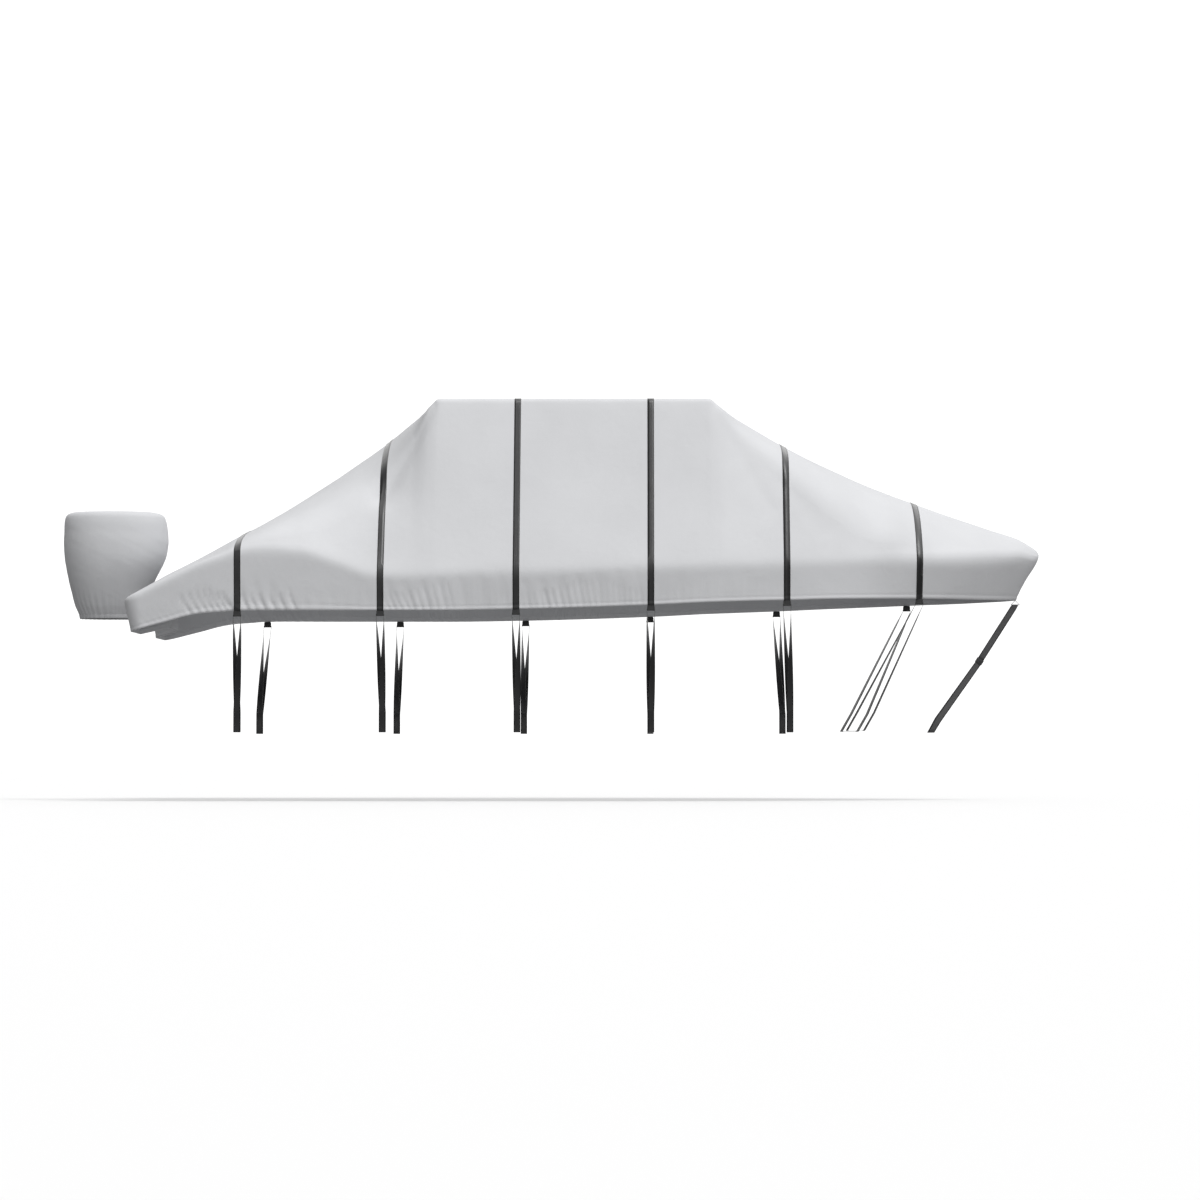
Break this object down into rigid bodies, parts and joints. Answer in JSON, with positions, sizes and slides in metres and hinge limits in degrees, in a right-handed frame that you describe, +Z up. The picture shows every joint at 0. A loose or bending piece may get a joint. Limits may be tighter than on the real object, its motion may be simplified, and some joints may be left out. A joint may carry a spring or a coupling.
{
  "type": "boat cover with matching outboard hood",
  "caption": "Fitted cloth cover for a centre-console boat with a T-top, with webbing over it, tie-down loops with buckles, a bow tie-down and a hood for the outboard.",
  "frame": {"origin": "middle of the flat roof's inner face, where the boat's T-top holds the cover up", "axes": "+X to the bow, +Y to port, +Z up"},
  "size_m": [6.775, 2.4354, 2.2636],
  "materials": {
    "cover_cloth": "pale silver-grey coated woven polyester, matt",
    "webbing": "black polypropylene webbing, flat weave with a firm selvedge",
    "buckle_plastic": "black moulded acetal, satin",
    "ring_steel": "plated steel wire"
  },
  "bodies": {
    "root": {"cover": "cover_cloth", "outboard_hood": "cover_cloth", "overhead_strap_1": "webbing", "overhead_strap_2": "webbing", "overhead_strap_3": "webbing", "overhead_strap_4": "webbing", "overhead_strap_5": "webbing", "overhead_strap_6": "webbing", "hem_buckle_starboard_1": "buckle_plastic", "hem_buckle_starboard_2": "buckle_plastic", "hem_buckle_starboard_3": "buckle_plastic", "hem_buckle_starboard_4": "buckle_plastic", "hem_buckle_starboard_5": "buckle_plastic", "hem_buckle_starboard_6": "buckle_plastic", "hem_buckle_port_1": "buckle_plastic", "hem_buckle_port_2": "buckle_plastic", "hem_buckle_port_3": "buckle_plastic", "hem_buckle_port_4": "buckle_plastic", "hem_buckle_port_5": "buckle_plastic", "hem_buckle_port_6": "buckle_plastic", "tie_loop_starboard_1": "webbing", "tie_loop_starboard_2": "webbing", "tie_loop_starboard_3": "webbing", "tie_loop_starboard_4": "webbing", "tie_loop_starboard_5": "webbing", "tie_loop_starboard_6": "webbing", "tie_loop_port_1": "webbing", "tie_loop_port_2": "webbing", "tie_loop_port_3": "webbing", "tie_loop_port_4": "webbing", "tie_loop_port_5": "webbing", "tie_loop_port_6": "webbing", "bow_ring": "ring_steel", "bow_strap_upper": "webbing", "bow_strap_lower": "webbing", "bow_buckle": "buckle_plastic"}
  },
  "joints": []
}
